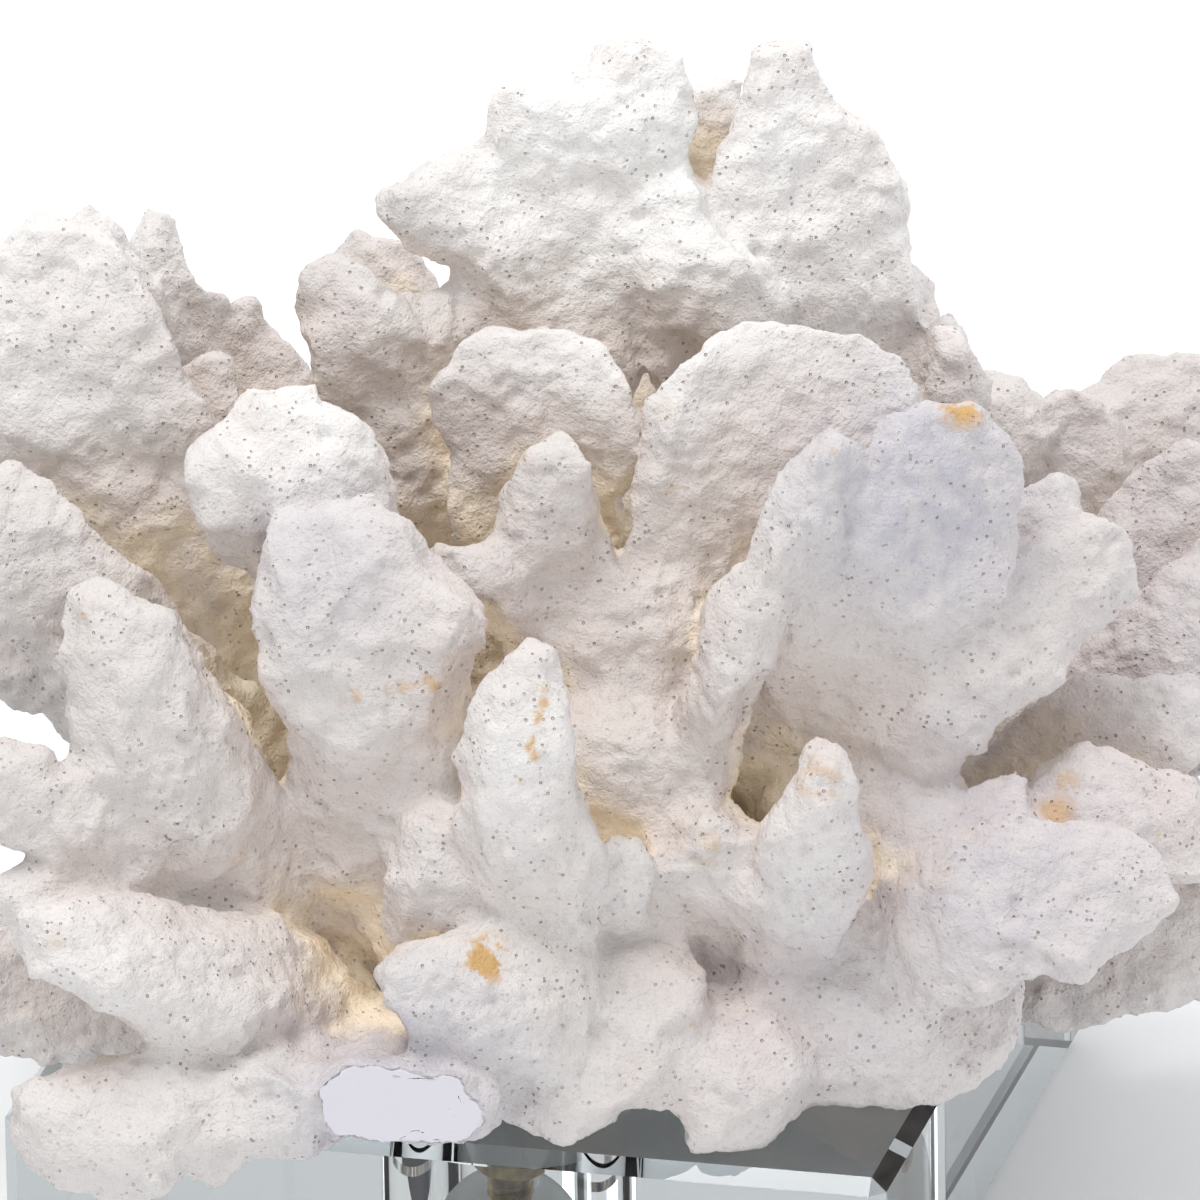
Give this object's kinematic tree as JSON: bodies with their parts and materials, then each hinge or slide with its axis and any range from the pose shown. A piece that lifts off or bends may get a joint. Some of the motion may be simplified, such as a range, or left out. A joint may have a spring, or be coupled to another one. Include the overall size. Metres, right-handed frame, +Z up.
{
  "type": "mounted branching coral",
  "caption": "Bleached white branching coral of thick rounded blades and fingers, fixed by a brass threaded rod, nut and washer to a clear bevelled crystal block.",
  "frame": {"origin": "middle of the rectangle that the whole object covers, at the level of the surface under the block", "axes": "+Z up, -Y out of the front of the block, +X to the right as seen from the front, along the coral's longest spread"},
  "size_m": [0.2602, 0.2086, 0.2066],
  "materials": {
    "coral": "matt, chalky, pitted and porous, with tan hollows and rust-brown flecks",
    "crystal": "polished clear crystal with a faint green tint along its edges",
    "brass": "dull aged brass"
  },
  "bodies": {
    "root": {"coral_back_crest": "coral", "coral_back_leaf": "coral", "coral_back_left_arm": "coral", "coral_back_left_fan": "coral", "coral_back_left_tongue": "coral", "coral_back_right_fans": "coral", "coral_back_tongue": "coral", "coral_centre_plate_left": "coral", "coral_centre_plates": "coral", "coral_crest_back": "coral", "coral_crest_left": "coral", "coral_crest_right": "coral", "coral_front_finger": "coral", "coral_front_lobe": "coral", "coral_left_arm": "coral", "coral_left_fan": "coral", "coral_left_fan_back": "coral", "coral_left_fingers": "coral", "coral_left_knob": "coral", "coral_left_lobes": "coral", "coral_left_low_back": "coral", "coral_left_plate": "coral", "coral_left_upper_knob": "coral", "coral_low_left_lobes": "coral", "coral_low_right_plate": "coral", "coral_right_back_shelf": "coral", "coral_right_fan": "coral", "coral_right_inner_fan": "coral", "coral_right_leaf": "coral", "coral_right_outer_leaf": "coral", "coral_right_plates": "coral", "coral_right_shelf": "coral", "coral_right_tongue": "coral", "coral_right_upper_tongue": "coral", "coral_shoulder_left": "coral", "coral_shoulder_left_back": "coral", "coral_shoulder_right": "coral", "coral_trunk": "coral", "crystal_block": "crystal", "hex_nut": "brass", "threaded_rod": "brass", "washer": "brass"}
  },
  "joints": []
}
